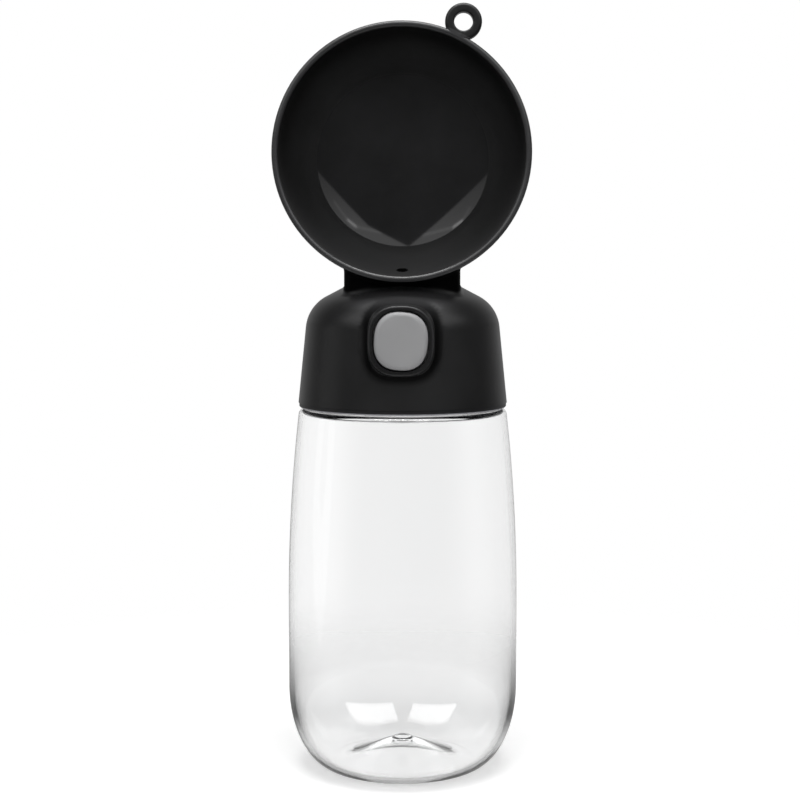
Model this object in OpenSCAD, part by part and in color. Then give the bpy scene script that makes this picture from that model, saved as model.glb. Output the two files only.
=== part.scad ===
// Travel water bottle for dogs: a clear bottle, and a screw-on head with a drinking bowl
// that a spring-loaded push button fills. Millimetres, +Z up, the bowl faces -Y,
// and the origin is at the centre of the ring that the bottle stands on.

/* [Bottle] */
// Greatest outer radius of the bottle
bottle_r = 36; // [34:0.5:38]
// Height of the bottle's shoulder
bottle_h = 113.4; // [105:0.2:125]
// Height up to which the wall is upright, before it draws in
belly_h = 50; // [40:1:60]
// Outer radius of the ring that the bottle stands on
foot_r = 22; // [21:0.5:24]
// Height of the rounded heel
heel_h = 26; // [20:0.5:32]
// Outer radius just under the shoulder
shoulder_r = 32.6; // [32:0.1:33.4]
// Radius of the shoulder's rounded edge
shoulder_round = 2.6; // [2:0.1:3]
// Thickness of the bottle's wall
bottle_wall = 1.4; // [1:0.1:1.8]
// Thickness of the bottle's floor
floor_t = 1.8; // [1.4:0.1:2.4]
// Radius of the hollow pushed up under the floor
punt_r = 19; // [15:0.5:20]
// Height of that hollow
punt_h = 6.4; // [4:0.2:9]
// Radius of the moulding gate's nub on the floor
gate_r = 3; // [2:0.2:4]
// Height of that nub
gate_h = 0.7; // [0.4:0.1:1]

/* [Bottle neck] */
// Outer radius of the bottle's neck
neck_r = 26; // [25.4:0.1:26.4]
// Thickness of the neck's wall
neck_wall = 1.8; // [1.4:0.1:2.2]
// Height of the neck above the shoulder
neck_h = 9.2; // [8.8:0.1:10]
// Room between neck and collar for the screw thread
thread_room = 1.7; // [1.3:0.1:1.8]

/* [Screw collar] */
// Gap between the bottle's shoulder and the collar's lower edge
collar_gap = 0.6; // [0.4:0.1:1.2]
// Height of the collar's band that shows below the cap
band_h = 1.5; // [1.2:0.1:2.5]
// How far the band is set in from the cap's edge
band_inset = 0.25; // [0.1:0.05:0.5]
// Thickness of the collar's wall
collar_wall = 1.7; // [1.5:0.1:1.9]
// Radius of the bead that snaps into the cap
snap_r = 0.45; // [0.3:0.05:0.6]
// Number of keys that stop the collar turning in the cap
key_count = 6; // [4:1:8]

/* [Mouth gasket] */
// Thickness of the gasket on the bottle's mouth
gasket_t = 1.3; // [1:0.1:1.6]
// Gap left on each face of the gasket and of the valve's seal
seal_gap = 0.05; // [0.02:0.01:0.1]

/* [Cap shell] */
// Outer radius of the cap's lower edge
cap_r = 32.6; // [32.4:0.1:33.4]
// Lean of the cap's side wall, in degrees
cap_taper = 5.8; // [4:0.2:6.4]
// Height of the cap's straight side wall
cap_side_h = 23.5; // [23:0.1:26]
// Radius of the cap's rounded shoulder
dome_round = 12; // [10:0.2:12.6]
// Slope of the cap's top, in degrees
dome_slope = 27.6; // [25:0.2:30]
// Thickness of the cap's wall
cap_wall = 2.2; // [1.8:0.1:2.5]
// Thickness of the ribs inside the cap
rib_t = 1.6; // [1.2:0.1:2]

/* [Bridge between cap and bowl] */
// Width of the bridge
bridge_w = 35.6; // [34:0.2:38]
// Distance of the bridge's front face in front of the bottle's axis
bridge_front = 17.4; // [16:0.2:18]
// Distance of the bridge's rear face behind the bottle's axis
bridge_back = 0.4; // [0:0.1:1]
// Radius of the fillets between the bridge, the cap and the bowl
bridge_fillet = 1.6; // [1:0.1:2.2]
// Radius of the water outlet bored up through the bridge
outlet_r = 1.8; // [1.4:0.1:2]

/* [Bowl] */
// Outer radius of the bowl's rim
bowl_r = 38.8; // [37:0.1:41]
// Height of the rim's lowest point above the cap's lower edge
bowl_rise = 37.6; // [37:0.1:39.5]
// Distance of the rim's centre in front of the bottle's axis
bowl_front = 22; // [21:0.5:24]
// Backward lean of the bowl, in degrees
bowl_lean = 3; // [0:0.5:5]
// Width of the rim's rounded lip
rim_w = 1.9; // [1.6:0.1:2.2]
// Depth from the rim to the edge of the sunk floor
bowl_depth = 24; // [22:0.5:26]
// Radius of the sunk floor
dish_r = 27.3; // [25:0.1:29]
// Depth of the sunk floor's middle below its edge
dish_h = 3; // [2:0.2:4]
// Thickness of the bowl's wall
bowl_wall = 2; // [1.6:0.1:2.4]

/* [Lanyard ring] */
// Outer radius of the lanyard ring
ring_r = 5.5; // [5:0.1:6.5]
// Radius of the hole in the ring
ring_hole_r = 2.8; // [2.2:0.1:3.2]
// Thickness of the ring
ring_t = 3.2; // [2.6:0.1:3.6]
// Radius of the rounding on the ring's outer edges
ring_round = 0.9; // [0.6:0.1:1.2]
// Angle of the ring from the top of the bowl, in degrees
ring_angle = 25.5; // [15:0.5:40]

/* [Button] */
// Width of the button
button_w = 15.9; // [15:0.1:16.5]
// Height of the button
button_h = 17.2; // [16:0.1:17.6]
// Roundness of the button's outline: 2 is an ellipse, more is squarer
button_square = 2.5; // [2.2:0.1:3]
// Angle at which the button sits in its loose guide, in degrees
button_roll = 4; // [0:0.5:5]
// Gap round the button
button_gap = 0.5; // [0.4:0.05:0.6]
// Height of the button's axis above the cap's lower edge
button_rise = 20.6; // [20.4:0.1:21.2]
// How far the button's face stands in front of its ring
button_proud = 0.9; // [0.4:0.1:1.4]
// Travel of the button
travel = 3; // [2:0.1:3.4]
// Distance of the button ring's face in front of the bottle's axis
boss_front = 33.6; // [33.2:0.1:34.4]
// Width of the ring round the button
boss_lip = 1.3; // [1:0.1:1.6]
// Radius of the flare from the ring into the cap's side
boss_fillet = 3.6; // [2.5:0.1:4.2]
// Width of the flange that keeps the button in its guide
flange_w = 0.7; // [0.6:0.1:0.8]
// Thickness of that flange
flange_t = 1; // [0.8:0.1:1.2]
// Thickness of the button's face
button_t = 1.8; // [1.4:0.1:2.2]

/* [Valve] */
// Radius of the valve's stem
stem_r = 2; // [1.8:0.1:2.2]
// Running gap round the stem
stem_gap = 0.05; // [0.03:0.01:0.08]
// Outer radius of the valve housing's barrel
barrel_r = 7; // [6.8:0.1:7.4]
// Radius of the seat's bore
seat_r = 3.2; // [3:0.1:3.4]
// Outer radius of the silicone seal that closes the seat
seal_r = 4.6; // [4.2:0.1:4.8]
// Thickness of that seal
seal_t = 1.75; // [1.5:0.05:2]
// Radius of the chamber on the bottle's side of the seat
inlet_r = 5.5; // [5.3:0.1:5.6]
// Radius of the chamber on the bowl's side of the seat
chamber_r = 4.5; // [4:0.1:4.8]
// Radius of the port down to the bottle
port_r = 3; // [2.4:0.1:3.2]
// Thickness of the O-rings on the stem and on the rear plug
oring_t = 1.5; // [1.4:0.05:1.6]
// Thickness of the deck that closes the bottle's mouth
deck_t = 2; // [1.6:0.1:2]

/* [Return spring] */
// Mean radius of the spring's coils
spring_r = 4.1; // [4:0.05:4.2]
// Thickness of the spring's wire
wire_t = 0.6; // [0.5:0.05:0.7]
// Turns of the spring
spring_turns = 6; // [5:0.5:7]

/* [Hidden] */
$fn = 96;
CUT = 1;                                 // how far a cutting solid runs past what it cuts
BITE = 0.3;                              // how far a ridge or rib is sunk into what carries it
FIT = 0.1;                               // gap between pieces that are pushed together
clear_colour = [0.88, 0.92, 0.94, 0.35];
black = [0.07, 0.07, 0.075];
grey = [0.58, 0.58, 0.59];
silicone = [0.82, 0.84, 0.84];
ivory = [0.86, 0.86, 0.83];
steel = [0.72, 0.73, 0.75];

// Heights up the assembly
mouth_z = bottle_h + neck_h;
band_z = bottle_h + collar_gap;
shell_z = band_z + band_h;
deck_z = mouth_z + gasket_t + 2 * seal_gap;
deck_top_z = deck_z + deck_t;
axis_z = shell_z + button_rise;
bowl_z = shell_z + bowl_rise + bowl_r;

// Collar: a threaded bore, closed above by a lip under the deck
collar_in_r = neck_r + thread_room;
collar_lip_r = neck_r + 0.4;
collar_r = collar_in_r + collar_wall;
lip_h = 1;                               // height of the collar's lip under the deck
lip_z = deck_z - lip_h;
deck_r = collar_in_r - FIT;
spigot_r = neck_r - neck_wall - 0.4;
spigot_h = 2;
spigot_t = 1.8;
key_w = 1.6;
key_d = 0.8;
key_h = 3.5;
snap_z = shell_z + 6;
bridge_square = 4;                       // power of the bridge's outline

// Cap: where the straight side, the round shoulder and the sloping top meet
side_x = cap_r - cap_side_h * tan(cap_taper);
dome_x = side_x - dome_round * cos(cap_taper);
dome_z = cap_side_h - dome_round * sin(cap_taper);
apex_h = dome_z + dome_round * cos(dome_slope)
    + (dome_x + dome_round * sin(dome_slope)) * tan(dome_slope);
pocket_r = collar_r + FIT;
pocket_h = deck_top_z - shell_z;

// Front-to-back stations, as distances in front of the bottle's axis
guide_f = boss_front - 4.4;              // face inside the cap that stops the button's flange
guide_back_f = guide_f - flange_t - travel - 0.6;
button_f = boss_front + button_proud;
flange_f = guide_f - FIT;
gland_f = 19;                            // front face of the barrel
bush_t = 3;
oring_r = oring_t / 2;
groove_t = oring_t + 0.1;
groove_f = gland_f - bush_t - groove_t;
wall_t = 2;
chamber_f = groove_f - wall_t;
seat_f = 1;                              // rear face of the seat
seat_t = 2;
outlet_f = 7.7;
port_f = -5;
plug_f = -11;
barrel_back_f = -14;
plug_flange_t = 1.5;
stem_front_f = button_f - button_t - 0.6;
hub_r = 3.2;
hub_back_f = 26.5;
clip_t = 0.5;
clip_r = seat_r - 0.4;
clip_root_r = stem_r - 0.45;
seal_f = seat_f - seal_gap - seal_t;     // rear face of the seal
stem_head_t = 1.2;
spring_front_f = button_f - button_t - 0.05;
spring_back_f = gland_f + 0.05;
bush_r = 5;
boss_edge = 0.5;                         // rounding of the button ring's edge
boss_r = 5;                              // radius of the pillar under the outlet
boss_top_z = axis_z + 7.5;
tube_r = 2.9;                            // radius of the outlet tube that plugs into the cap
tube_h = 6.3;
outlet_oring_r = 0.8;

function arc(x, y, r, from, to, n) =
    [for (i = [0:n]) let (a = from + (to - from) * i / n) [x + r * cos(a), y + r * sin(a)]];

// Quarter of an ellipse from (x + a, y) to (x, y + b)
function quarter(x, y, a, b, n) =
    [for (i = [0:n]) let (u = 90 * i / n) [x + a * cos(u), y + b * sin(u)]];

// Superellipse outline: w and h are its full width and height, and a higher power is squarer
function squircle(w, h, power = button_square, n = 48) = [for (i = [0:n - 1])
    let (a = 360 * i / n, c = cos(a), s = sin(a))
    [w / 2 * sign(c) * pow(abs(c), 2 / power), h / 2 * sign(s) * pow(abs(s), 2 / power)]];

// Skin over rings of points, closed at both ends. Seen from behind the first, each runs clockwise.
module skin(rings) {
    n = len(rings[0]);
    last = len(rings) - 1;
    polyhedron(
        points = [for (ring = rings) each ring],
        faces = concat(
            [[for (i = [0:n - 1]) i]],
            [for (k = [0:last - 1], i = [0:n - 1])
                let (j = (i + 1) % n) each [
                    [k * n + i, (k + 1) * n + i, (k + 1) * n + j],
                    [k * n + i, (k + 1) * n + j, k * n + j]]],
            [[for (i = [n - 1:-1:0]) last * n + i]]));
}

// Puts a solid made along +Z along -Y instead, with its base at distance f in front of the axis
module forward(f, z = 0) {
    translate([0, -f, z]) rotate([90, 0, 0]) children();
}

// ---- Bottle ----

// Radius of the bottle's outside at height z, above the heel
function bottle_radius(z) = z < belly_h ? bottle_r
    : bottle_r - (bottle_r - shoulder_r) * pow((z - belly_h) / (bottle_h - shoulder_round - belly_h), 2);

// Profile of one face of the bottle, a wall's thickness t inside its outside
function bottle_face(t, floor_z) = let (
        top = bottle_h - shoulder_round,
        round = max(0.5, shoulder_round - t),
        reach = bottle_r - t - foot_r) concat(
    [for (i = [0:10]) let (r = punt_r * i / 10) [r, floor_z + punt_h * (1 - pow(r / punt_r, 2))]],
    [for (i = [0:14]) let (u = 90 * i / 14)
        [foot_r + reach * sin(u), floor_z + (heel_h - floor_z) * (1 - cos(u))]],
    [[bottle_r - t, belly_h]],
    [for (i = [1:12]) let (z = belly_h + (top - belly_h) * i / 12) [bottle_radius(z) - t, z]],
    arc(shoulder_r - t - round, top, round, 10, 90, 6));

module bottle() {
    mouth = 0.5;                         // rounding of the mouth's edge
    color(clear_colour) difference() {
        union() {
            rotate_extrude() polygon(concat(
                bottle_face(0, 0),
                [[neck_r, bottle_h]],
                arc(neck_r - mouth, mouth_z - mouth, mouth, 0, 90, 4),
                [[0, mouth_z]]));
        }
        rotate_extrude() polygon(concat(
            [[0, floor_t + punt_h + gate_h], [gate_r, floor_t + punt_h + gate_h]],
            [for (p = bottle_face(bottle_wall, floor_t)) if (p[0] > gate_r) p],
            [[neck_r - neck_wall, bottle_h - bottle_wall], [neck_r - neck_wall, mouth_z + CUT],
            [0, mouth_z + CUT]]));
    }
}

// ---- Screw collar: threaded ring that carries the head ----
module screw_collar() {
    band_r = cap_r - band_inset;
    color(black) {
        rotate_extrude() polygon([
            [collar_in_r, band_z], [band_r - 0.4, band_z], [band_r, band_z + 0.4], [band_r, shell_z],
            [collar_r, shell_z], [collar_r, deck_top_z], [collar_in_r, deck_top_z], [collar_in_r, deck_z],
            [collar_lip_r, deck_z], [collar_lip_r, lip_z], [collar_in_r, lip_z]]);
        rotate_extrude() translate([collar_r, snap_z]) circle(snap_r, $fn = 24);
        for (i = [0:key_count - 1]) rotate(360 * (i + 0.5) / key_count)
            translate([collar_r - BITE, -key_w / 2, shell_z]) cube([key_d + BITE, key_w, key_h]);
    }
}

// ---- Mouth gasket ----
module mouth_gasket() {
    color(silicone) translate([0, 0, mouth_z + seal_gap]) difference() {
        cylinder(r = neck_r + 0.3, h = gasket_t);
        translate([0, 0, -CUT]) cylinder(r = spigot_r + seal_gap, h = gasket_t + 2 * CUT);
    }
}

// ---- Cap shell: cap, bridge, bowl and lanyard ring in one moulding ----

// Profile of the cap's outside, moved in by t
function dome_face(t) = concat(
    [[cap_r - t / cos(cap_taper), 0]],
    arc(dome_x, dome_z, dome_round - t, cap_taper, 90 - dome_slope, 10),
    [[0, apex_h - t / cos(dome_slope)]]);

module dome(t, from) {
    translate([0, 0, shell_z]) intersection() {
        rotate_extrude() polygon(concat(dome_face(t), [[0, 0]]));
        translate([0, 0, from]) cylinder(r = cap_r + CUT, h = apex_h + CUT);
    }
}

// Leans what is made upright, at distance f in front of the axis, back with the bowl
module leaning(f = 0) {
    translate([0, -bowl_front, bowl_z]) rotate([90 - bowl_lean, 0, 0])
        translate([0, 0, f - bowl_front]) children();
}

// Solid of revolution whose profile gives radius and distance in front of the bottle's axis
module bowl_turned(profile) {
    leaning() rotate_extrude() polygon(profile);
}

lip_r = rim_w / 2;
lip_f = bowl_front - lip_r;
dish_f = bowl_front - bowl_depth;

// The floor's dished profile out to radius r
function dished(r, f) = [for (i = [0:6]) [r * i / 6, f - dish_h + dish_h * pow(i / 6, 2)]];

// One side of the bowl's wall, from the sunk floor's edge out to the lip
function bowl_side(inner_r, outer_r, f) = [for (i = [0:14]) let (u = 90 - 90 * i / 14)
    [inner_r + (outer_r - inner_r) * cos(u), lip_f - (lip_f - f) * sin(u)]];

module bowl_outside() {
    bowl_turned(concat(
        dished(dish_r + bowl_wall, dish_f - bowl_wall),
        bowl_side(dish_r + bowl_wall, bowl_r, dish_f - bowl_wall),
        arc(bowl_r - lip_r, lip_f, lip_r, 15, 180, 11),
        [[0, lip_f]]));
}

module bowl_inside() {
    bowl_turned(concat(
        dished(dish_r, dish_f),
        bowl_side(dish_r, bowl_r - rim_w, dish_f),
        [[bowl_r - rim_w, bowl_front + CUT], [0, bowl_front + CUT]]));
}

// Each step of a flare: its spread and its rise, as shares of its radius; the first is sunk
flare = concat([[1.1, -0.14]], [for (t = [22.5:22.5:90]) [1 - sin(t), 1 - cos(t)]]);

// Height of the cap's outside at distance r from the axis
function dome_top(r) = shell_z + (r < dome_x + dome_round * sin(dome_slope) ? apex_h - r * tan(dome_slope)
    : dome_z + sqrt(pow(dome_round, 2) - pow(r - dome_x, 2)));
// Height of the leaning bowl's underside, at x to the side and f in front of the axis
function bowl_under(x, f) = let (
        edge_r = dish_r + bowl_wall,
        back = (bowl_front - f + bowl_r * sin(bowl_lean)) / cos(bowl_lean),
        share = min(0.98, (back - lip_r) / (lip_f - dish_f + bowl_wall)),
        r = edge_r + (bowl_r - edge_r) * cos(asin(share)))
    bowl_z - cos(bowl_lean) * sqrt(r * r - x * x) - back * sin(bowl_lean);

// Bridge: an upright rounded column that flares where it meets the cap and the bowl
module bridge() {
    depth = bridge_front + bridge_back;
    middle_f = bridge_front - depth / 2;
    outline = squircle(bridge_w, depth, bridge_square, 40);
    function low(x, y) = dome_top(norm([x, y]));
    function high(x, y) = bowl_under(x, -y);
    function half(x, y) = max(0.8, (high(x, y) - low(x, y)) / 2);
    // One ring round the bridge: side is -1 where it meets the cap, 1 where it meets the bowl
    function ring(step, side) = [for (p = outline) let (
            fillet = min(bridge_fillet, 0.8 * half(p[0], p[1] - middle_f)),
            spread = 1 + step[0] * fillet / norm(p),
            x = p[0] * spread,
            y = p[1] * spread - middle_f)
        [x, y, (high(x, y) + low(x, y)) / 2 + side * (half(x, y) - step[1] * fillet)]];
    last = len(flare) - 1;
    skin(concat([for (i = [0:last]) ring(flare[i], -1)], [for (i = [last:-1:0]) ring(flare[i], 1)]));
}

// Space cored out of the bridge from below, between its walls and the bowl's
module bridge_core() {
    depth = bridge_front + bridge_back;
    difference() {
        translate([0, depth / 2 - bridge_front, shell_z + cap_side_h]) linear_extrude(bowl_rise)
            polygon(squircle(bridge_w - 2 * cap_wall, depth - 2 * cap_wall, bridge_square));
        bowl_outside();
    }
}

// Radius of the cap's outside at height z above its lower edge
function cap_side(z) = z < cap_side_h ? cap_r - z * tan(cap_taper)
    : z < dome_z + dome_round * cos(dome_slope) ? dome_x + sqrt(pow(dome_round, 2) - pow(z - dome_z, 2))
    : (apex_h - z) / tan(dome_slope);

// Boss with the ring round the button, flared into the cap's side
module button_boss() {
    reach = 2 * (button_gap + boss_lip);
    outline = squircle(button_w + reach, button_h + reach);
    // Distance in front of the axis at which the cap's side lies behind a point of the outline
    function side_f(x, z) = sqrt(pow(cap_side(button_rise + z), 2) - x * x);
    function flared(step) = [for (p = outline) let (
            fillet = min(boss_fillet, 0.85 * (boss_front - side_f(p[0], p[1]))),
            spread = 1 + step[0] * fillet / norm(p),
            x = p[0] * spread,
            z = p[1] * spread)
        [x, -side_f(x, z) - step[1] * fillet, axis_z + z]];
    function edge(t) = let (shrink = boss_edge * (1 - sin(t))) [for (p = outline)
        let (x = p[0] * (1 - shrink / norm(p)), z = p[1] * (1 - shrink / norm(p)))
        [x, -boss_front + boss_edge * (1 - cos(t)), axis_z + z]];
    skin(concat([for (step = flare) flared(step)], [for (t = [90:-30:0]) edge(t)]));
}

module lanyard_ring() {
    reach = bowl_r + ring_r - 0.9 * rim_w;
    leaning(bowl_front - ring_t) translate([reach * sin(ring_angle), reach * cos(ring_angle), 0])
        rotate_extrude() ring_section();
}

// Section of the lanyard ring: a flat bore inside, rounded edges outside
module ring_section() {
    e = ring_round;
    b = 0.5;                             // small rounding at the bore's edges
    polygon(concat(
        arc(ring_r - e, ring_t - e, e, 0, 90, 6),
        arc(ring_hole_r + b, ring_t - b, b, 90, 180, 3),
        arc(ring_hole_r + b, b, b, 180, 270, 3),
        arc(ring_r - e, e, e, -90, 0, 6)));
}

// Ribs that hold the valve housing's deck down, and stiffen the dome
module cap_ribs() {
    intersection() {
        for (a = [45:90:315]) rotate(a)
            translate([17, -rib_t / 2, deck_top_z]) cube([cap_r, rib_t, apex_h]);
        dome(cap_wall / 2, pocket_h);
    }
}

module cap_shell() {
    hole_w = button_w + 2 * button_gap;
    hole_h = button_h + 2 * button_gap;
    color(black) difference() {
        union() {
            difference() {
                union() {
                    dome(0, 0);
                    bridge();
                    bowl_outside();
                    button_boss();
                    lanyard_ring();
                }
                dome(cap_wall, pocket_h);
                translate([0, 0, shell_z - CUT]) cylinder(r = pocket_r, h = pocket_h + CUT);
                bridge_core();
                forward(guide_back_f, axis_z) linear_extrude(guide_f - guide_back_f)
                    polygon(squircle(hole_w + 2 * flange_w, hole_h + 2 * flange_w));
                rotate_extrude() translate([pocket_r, snap_z]) circle(snap_r, $fn = 24);
                for (i = [0:key_count - 1]) rotate(360 * (i + 0.5) / key_count)
                    translate([pocket_r - CUT, -key_w / 2 - FIT, shell_z - CUT])
                        cube([key_d + CUT, key_w + 2 * FIT, key_h + FIT + CUT]);
            }
            cap_ribs();
            translate([0, -outlet_f, boss_top_z + 2 * outlet_oring_r])
                cylinder(r = boss_r, h = shell_z + bowl_rise + bowl_wall - boss_top_z);
        }
        bowl_inside();
        forward(guide_f - CUT, axis_z) linear_extrude(boss_front) polygon(squircle(hole_w, hole_h));
        translate([0, -outlet_f, axis_z]) cylinder(r = outlet_r, h = bowl_z - axis_z);
        translate([0, -outlet_f, axis_z]) cylinder(r = tube_r + FIT, h = boss_top_z + tube_h + FIT - axis_z);
    }
}

// ---- Valve ----

// Deck over the bottle's mouth, with the barrel that the valve works in
module valve_housing() {
    color(ivory) difference() {
        union() {
            translate([0, 0, deck_z]) cylinder(r = deck_r, h = deck_t);
            translate([0, 0, deck_z - spigot_h]) difference() {
                cylinder(r = spigot_r, h = spigot_h + BITE);
                translate([0, 0, -CUT]) cylinder(r = spigot_r - spigot_t, h = spigot_h + CUT);
            }
            forward(barrel_back_f, axis_z) cylinder(r = barrel_r, h = gland_f - barrel_back_f);
            translate([-port_r - 1.5, -gland_f + 1, deck_z])
                cube([2 * port_r + 3, gland_f - barrel_back_f - 2, axis_z - deck_z]);
            translate([0, -outlet_f, axis_z]) cylinder(r = boss_r, h = boss_top_z - axis_z);
            translate([0, -outlet_f, axis_z]) cylinder(r = tube_r, h = boss_top_z + tube_h - axis_z);
        }
        forward(chamber_f - CUT, axis_z) cylinder(r = stem_r + stem_gap, h = gland_f);
        forward(groove_f, axis_z) cylinder(r = stem_r + stem_gap + oring_t, h = gland_f);
        forward(gland_f - bush_t, axis_z) cylinder(r = bush_r, h = bush_t + CUT);
        forward(seat_f + seat_t, axis_z) cylinder(r = chamber_r, h = chamber_f - seat_f - seat_t);
        forward(seat_f - CUT, axis_z) cylinder(r = seat_r, h = seat_t + 2 * CUT);
        forward(barrel_back_f - CUT, axis_z) cylinder(r = inlet_r, h = seat_f - barrel_back_f + CUT);
        translate([0, -outlet_f, axis_z]) cylinder(r = outlet_r, h = boss_top_z + tube_h + CUT - axis_z);
        translate([0, -port_f, deck_z - CUT]) cylinder(r = port_r, h = axis_z - deck_z + CUT);
    }
}

// Plug that closes the barrel behind the valve
module rear_plug() {
    color(ivory) forward(barrel_back_f - plug_flange_t, axis_z) rotate_extrude() polygon([
        [0, 0], [barrel_r - 0.4, 0], [barrel_r, 0.4], [barrel_r, plug_flange_t],
        [inlet_r - 0.05, plug_flange_t], [inlet_r - 0.05, plug_flange_t + 0.6],
        [inlet_r - oring_t, plug_flange_t + 0.6], [inlet_r - oring_t, plug_flange_t + 0.6 + groove_t],
        [inlet_r - 0.05, plug_flange_t + 0.6 + groove_t], [inlet_r - 0.05, plug_f - barrel_back_f + plug_flange_t],
        [0, plug_f - barrel_back_f + plug_flange_t]]);
}

// O-ring: mean radius r, thickness t
module oring(r, t) {
    color(silicone) rotate_extrude() translate([r, 0]) circle(t / 2, $fn = 32);
}

module rear_plug_oring() {
    forward(barrel_back_f + 0.6 + groove_t / 2, axis_z) oring(inlet_r - oring_r, oring_t);
}

module stem_oring() {
    forward(groove_f + groove_t / 2, axis_z) oring(stem_r + stem_gap + oring_r, oring_t);
}

module outlet_oring() {
    translate([0, -outlet_f, boss_top_z + outlet_oring_r])
        oring(tube_r + 0.05 + outlet_oring_r, 2 * outlet_oring_r);
}

// Bush pressed into the barrel's front, which holds the stem's O-ring in
module gland_bush() {
    color(ivory) forward(gland_f - bush_t, axis_z) difference() {
        cylinder(r = bush_r - 0.02, h = bush_t);
        translate([0, 0, -CUT]) cylinder(r = stem_r + stem_gap, h = bush_t + 2 * CUT);
    }
}

// Stem: a head behind the seal, and a groove for the clip in front of it
module valve_stem() {
    color(ivory) forward(seal_f - stem_head_t, axis_z) rotate_extrude() polygon([
        [0, 0], [seal_r - 1, 0], [seal_r - 0.6, 0.4], [seal_r - 0.6, stem_head_t], [stem_r, stem_head_t],
        [stem_r, stem_head_t + seal_t], [clip_root_r, stem_head_t + seal_t],
        [clip_root_r, stem_head_t + seal_t + clip_t], [stem_r, stem_head_t + seal_t + clip_t],
        [stem_r, stem_front_f - seal_f + stem_head_t - 0.4],
        [stem_r - 0.4, stem_front_f - seal_f + stem_head_t], [0, stem_front_f - seal_f + stem_head_t]]);
}

// Silicone disc that closes the seat
module stem_seal() {
    color(silicone) forward(seal_f, axis_z) difference() {
        cylinder(r = seal_r, h = seal_t);
        translate([0, 0, -CUT]) cylinder(r = stem_r, h = seal_t + 2 * CUT);
    }
}

// Spring-steel clip that holds the seal on the stem
module seal_clip() {
    color(steel) forward(seal_f + seal_t, axis_z) difference() {
        cylinder(r = clip_r, h = clip_t);
        translate([0, 0, -CUT]) cylinder(r = clip_root_r, h = clip_t + 2 * CUT);
        translate([-clip_root_r * 0.8, 0, -CUT]) cube([clip_root_r * 1.6, clip_r + CUT, clip_t + 2 * CUT]);
    }
}

// Wire swept round a helix, with its end coils closed up
module return_spring() {
    coils = 360 * spring_turns;
    step = 20;
    sides = 6;
    length = spring_front_f - spring_back_f - wire_t;
    // height of the wire at angle a: flat end coils, and an even pitch between them
    function rise(a) = let (dead = 270, live = coils - 2 * dead, t = max(0, min(1, (a - dead) / live)),
        flat = wire_t * 0.75 * 1.05)
        (a < dead ? flat * a / dead : a > coils - dead ? length - flat * (coils - a) / dead
        : flat + (length - 2 * flat) * t);
    color(steel) forward(spring_back_f + wire_t / 2, axis_z)
        skin([for (a = [0:step:coils]) [for (i = [0:sides - 1])
            let (b = -360 * i / sides, r = spring_r + wire_t / 2 * cos(b))
            [r * cos(a), r * sin(a), rise(a) + wire_t / 2 * sin(b)]]]);
}

// ---- Push button ----
module push_button() {
    back = flange_f - flange_t;
    depth = button_f - back;
    // Each step: distance behind the button's face, and how much narrower the outline is
    steps = [[depth - flange_t / 2, 0], [1.3, 0], [0.75, 0.25], [0.35, 0.9], [0.12, 1.7], [0, 2.6]];
    color(grey) translate([0, 0, axis_z]) rotate([0, button_roll, 0]) difference() {
        union() {
            skin([for (s = steps) [for (p = squircle(button_w - s[1], button_h - s[1]))
                [p[0], s[0] - button_f, p[1]]]]);
            forward(back) linear_extrude(flange_t)
                polygon(squircle(button_w + 2 * flange_w, button_h + 2 * flange_w));
            forward(hub_back_f) cylinder(r = hub_r, h = button_f - button_t - hub_back_f + BITE);
        }
        difference() {
            forward(back - CUT) linear_extrude(depth - button_t + CUT)
                polygon(squircle(button_w - 3, button_h - 3));
            forward(hub_back_f - CUT) cylinder(r = hub_r, h = button_f);
        }
        forward(hub_back_f - CUT) cylinder(r = stem_r, h = stem_front_f - hub_back_f + CUT);
    }
}

bottle();
screw_collar();
cap_shell();
mouth_gasket();
valve_housing();
rear_plug();
rear_plug_oring();
gland_bush();
stem_oring();
outlet_oring();
valve_stem();
stem_seal();
seal_clip();
return_spring();
push_button();
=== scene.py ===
import math

import bmesh
import bpy
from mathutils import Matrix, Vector


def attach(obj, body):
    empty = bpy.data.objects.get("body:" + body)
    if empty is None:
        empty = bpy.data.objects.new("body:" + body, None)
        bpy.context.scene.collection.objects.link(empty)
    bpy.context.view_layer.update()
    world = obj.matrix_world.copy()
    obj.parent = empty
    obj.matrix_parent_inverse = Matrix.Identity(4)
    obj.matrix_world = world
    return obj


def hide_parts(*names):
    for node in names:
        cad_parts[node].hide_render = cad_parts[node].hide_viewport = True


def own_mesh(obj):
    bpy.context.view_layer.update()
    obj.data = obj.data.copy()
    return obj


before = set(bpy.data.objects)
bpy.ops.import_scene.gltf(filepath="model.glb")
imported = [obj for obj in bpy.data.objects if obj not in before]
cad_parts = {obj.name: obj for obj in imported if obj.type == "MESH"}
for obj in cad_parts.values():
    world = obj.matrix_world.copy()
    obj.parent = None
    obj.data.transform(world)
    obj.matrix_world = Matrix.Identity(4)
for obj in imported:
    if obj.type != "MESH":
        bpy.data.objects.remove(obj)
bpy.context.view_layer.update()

MM = 0.001


def cos(degrees):
    return math.cos(math.radians(degrees))


def sin(degrees):
    return math.sin(math.radians(degrees))


# ---- Sizes, in millimetres and degrees ----

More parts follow.
